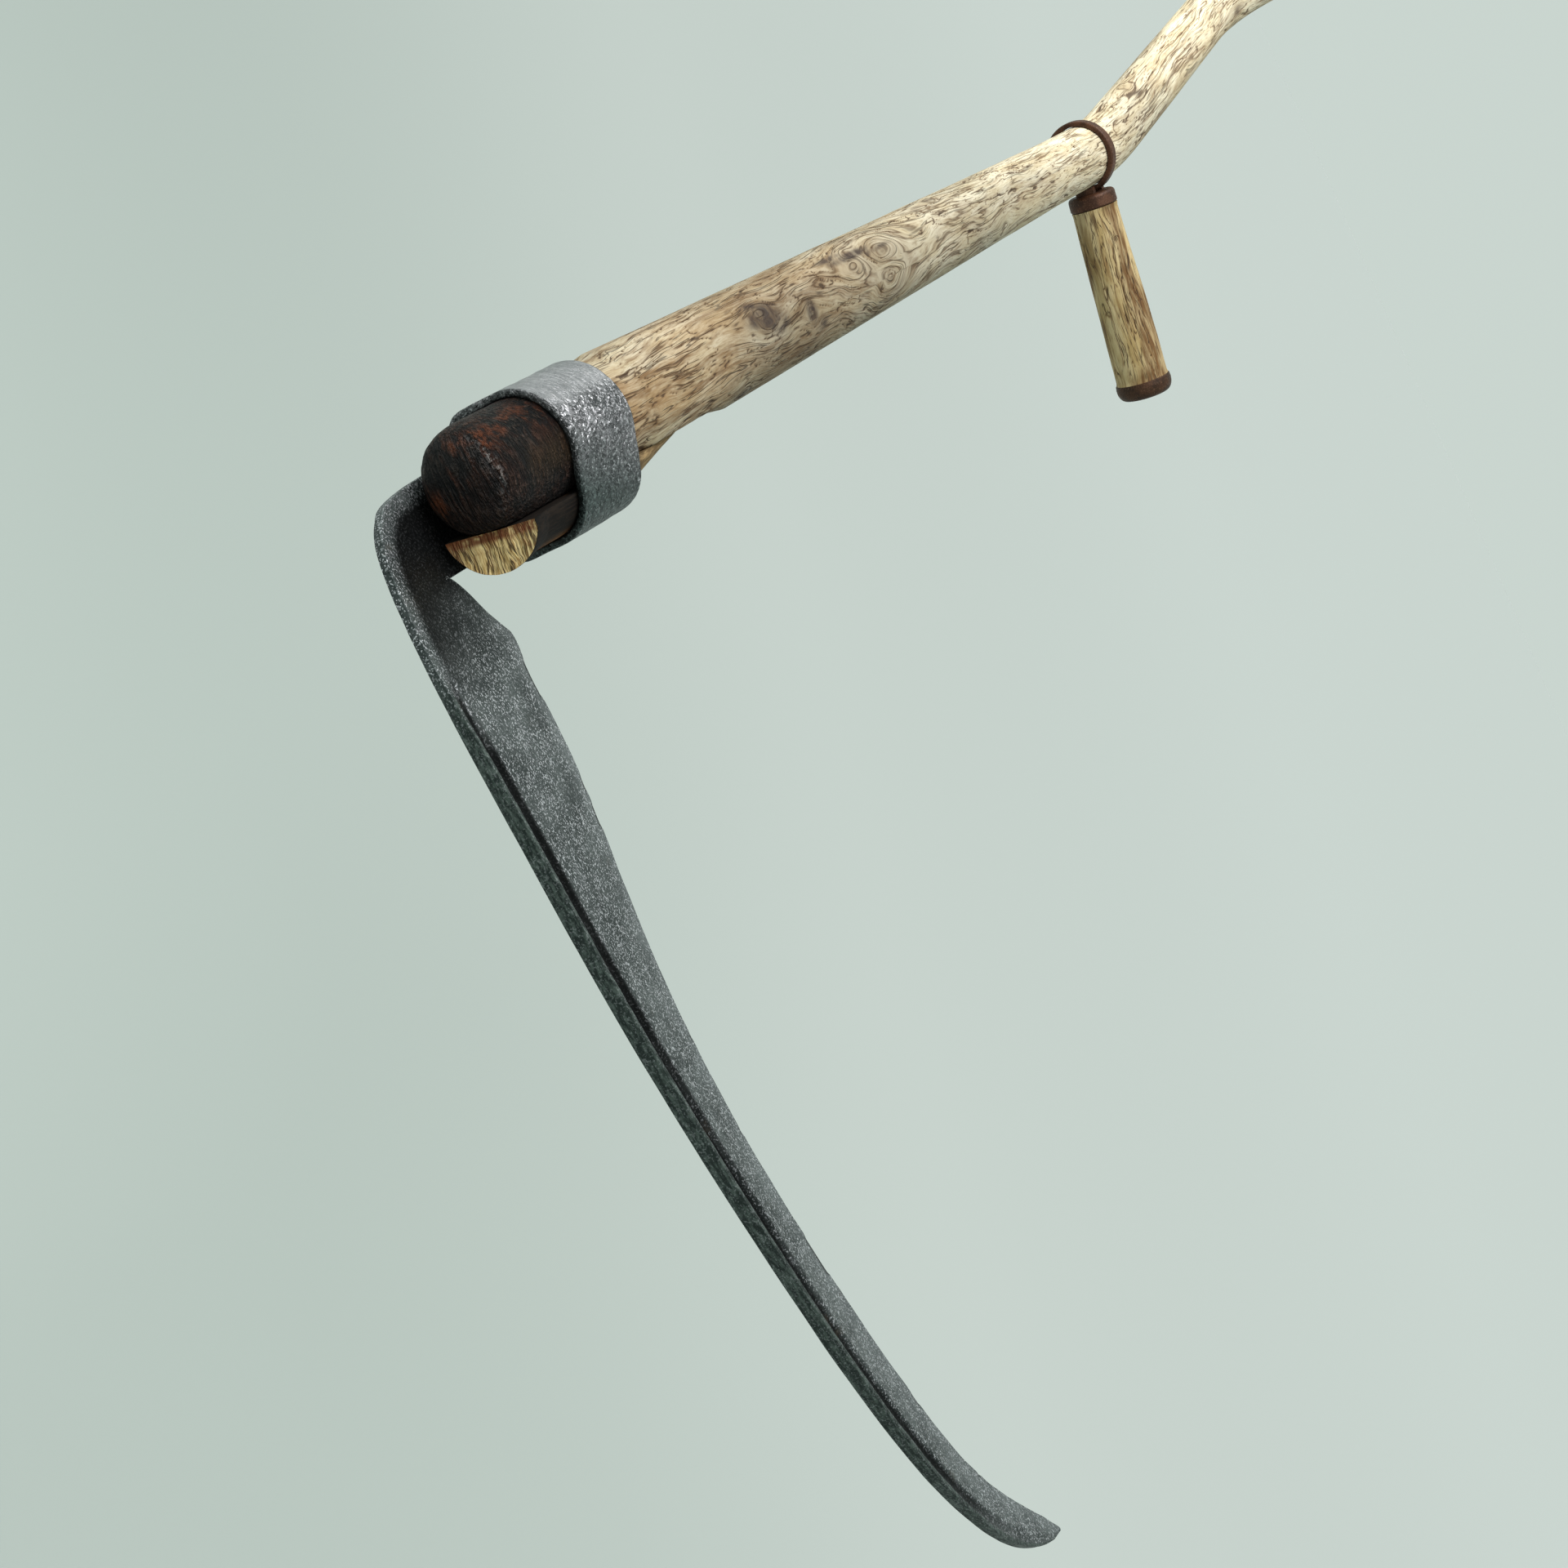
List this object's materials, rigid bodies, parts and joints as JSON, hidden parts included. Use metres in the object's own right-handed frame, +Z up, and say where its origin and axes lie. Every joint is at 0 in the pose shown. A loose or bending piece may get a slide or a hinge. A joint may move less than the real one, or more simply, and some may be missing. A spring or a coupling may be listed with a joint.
{
  "type": "hand scythe",
  "caption": "Right-handed mowing scythe: crescent steel blade with a stiffening rib, bent wooden snath, iron heel ring with a wooden wedge, and side grips on iron loops.",
  "frame": {"origin": "middle of the flat sole under the blade's heel, on the ground the blade lies on", "axes": "+Z up in the mowing pose; -X out along the blade to its tip; -Y from the blade towards the mower, the way the snath rises"},
  "size_m": [0.5909, 1.3808, 0.7126],
  "materials": {
    "snath_wood": "bare weathered pale wood, cracked along the grain, blackened at the foot end",
    "blade_steel": "old forged steel, dark grey, finely speckled",
    "ring_iron": "old wrought iron, grey, hammered and rubbed bright in places",
    "wedge_wood": "split stake, dark brown bark-like sides and a straw-coloured cut end",
    "nib_iron": "satin iron with a thin brown rust",
    "cap_iron": "satin iron, brown rust",
    "nib_wood": "bare straw-coloured wood with dark cracks"
  },
  "bodies": {
    "snath": {"snath": "snath_wood"},
    "blade": {"blade": "blade_steel"},
    "heel_ring": {"heel_ring": "ring_iron"},
    "wedge": {"wedge": "wedge_wood"},
    "lower_nib_loop": {"lower_nib_eyebolt": "nib_iron"},
    "lower_nib_collar": {"lower_nib_collar": "nib_iron"},
    "lower_nib_grip": {"lower_nib_grip": "nib_wood", "lower_nib_washer": "nib_iron", "lower_nib_nut": "nib_iron", "lower_nib_end_cap": "cap_iron"},
    "upper_nib_loop": {"upper_nib_eyebolt": "nib_iron"},
    "upper_nib_collar": {"upper_nib_collar": "nib_iron"},
    "upper_nib_grip": {"upper_nib_grip": "nib_wood", "upper_nib_washer": "nib_iron", "upper_nib_nut": "nib_iron", "upper_nib_end_cap": "cap_iron"}
  },
  "joints": [
    {"name": "blade_pivot", "type": "hinge", "parent": "snath", "child": "blade", "pos_m": [-0.00591, -0.12699, 0.02945], "axis": [0.065, 0.2627, 0.9627], "range_deg": [-2.5, 2.5]},
    {"name": "ring_slide", "type": "slide", "parent": "snath", "child": "heel_ring", "axis": [-0.2313, -0.9345, 0.2706], "range_m": [0, 0.01]},
    {"name": "wedge_slide", "type": "slide", "parent": "snath", "child": "wedge", "axis": [0.2313, 0.9345, -0.2706], "range_m": [0, 0.0065]},
    {"name": "lower_nib_slide", "type": "slide", "parent": "snath", "child": "lower_nib_loop", "axis": [-0.2313, -0.9345, 0.2706], "range_m": [-0.05, 0]},
    {"name": "lower_nib_draw", "type": "slide", "parent": "lower_nib_loop", "child": "lower_nib_collar", "axis": [-0.9673, 0.191, -0.1672], "range_m": [0, 0.0032]},
    {"name": "lower_nib_turn", "type": "hinge", "parent": "lower_nib_collar", "child": "lower_nib_grip", "pos_m": [-0.13146, -0.65513, 0.20655], "axis": [-0.9673, 0.191, -0.1672], "range_deg": [-721, 0]},
    {"name": "upper_nib_slide", "type": "slide", "parent": "snath", "child": "upper_nib_loop", "axis": [-0.0603, -0.8629, 0.5017], "range_m": [-0.035, 0.035]},
    {"name": "upper_nib_draw", "type": "slide", "parent": "upper_nib_loop", "child": "upper_nib_collar", "axis": [-0.9885, -0.0183, -0.1502], "range_m": [0, 0.0032]},
    {"name": "upper_nib_turn", "type": "hinge", "parent": "upper_nib_collar", "child": "upper_nib_grip", "pos_m": [-0.17033, -1.09089, 0.58467], "axis": [-0.9885, -0.0183, -0.1502], "range_deg": [-721, 0]}
  ],
  "couplings": [
    {"joint": "lower_nib_turn", "follows": "lower_nib_draw", "rad_per_m": -3927},
    {"joint": "upper_nib_turn", "follows": "upper_nib_draw", "rad_per_m": -3927}
  ]
}
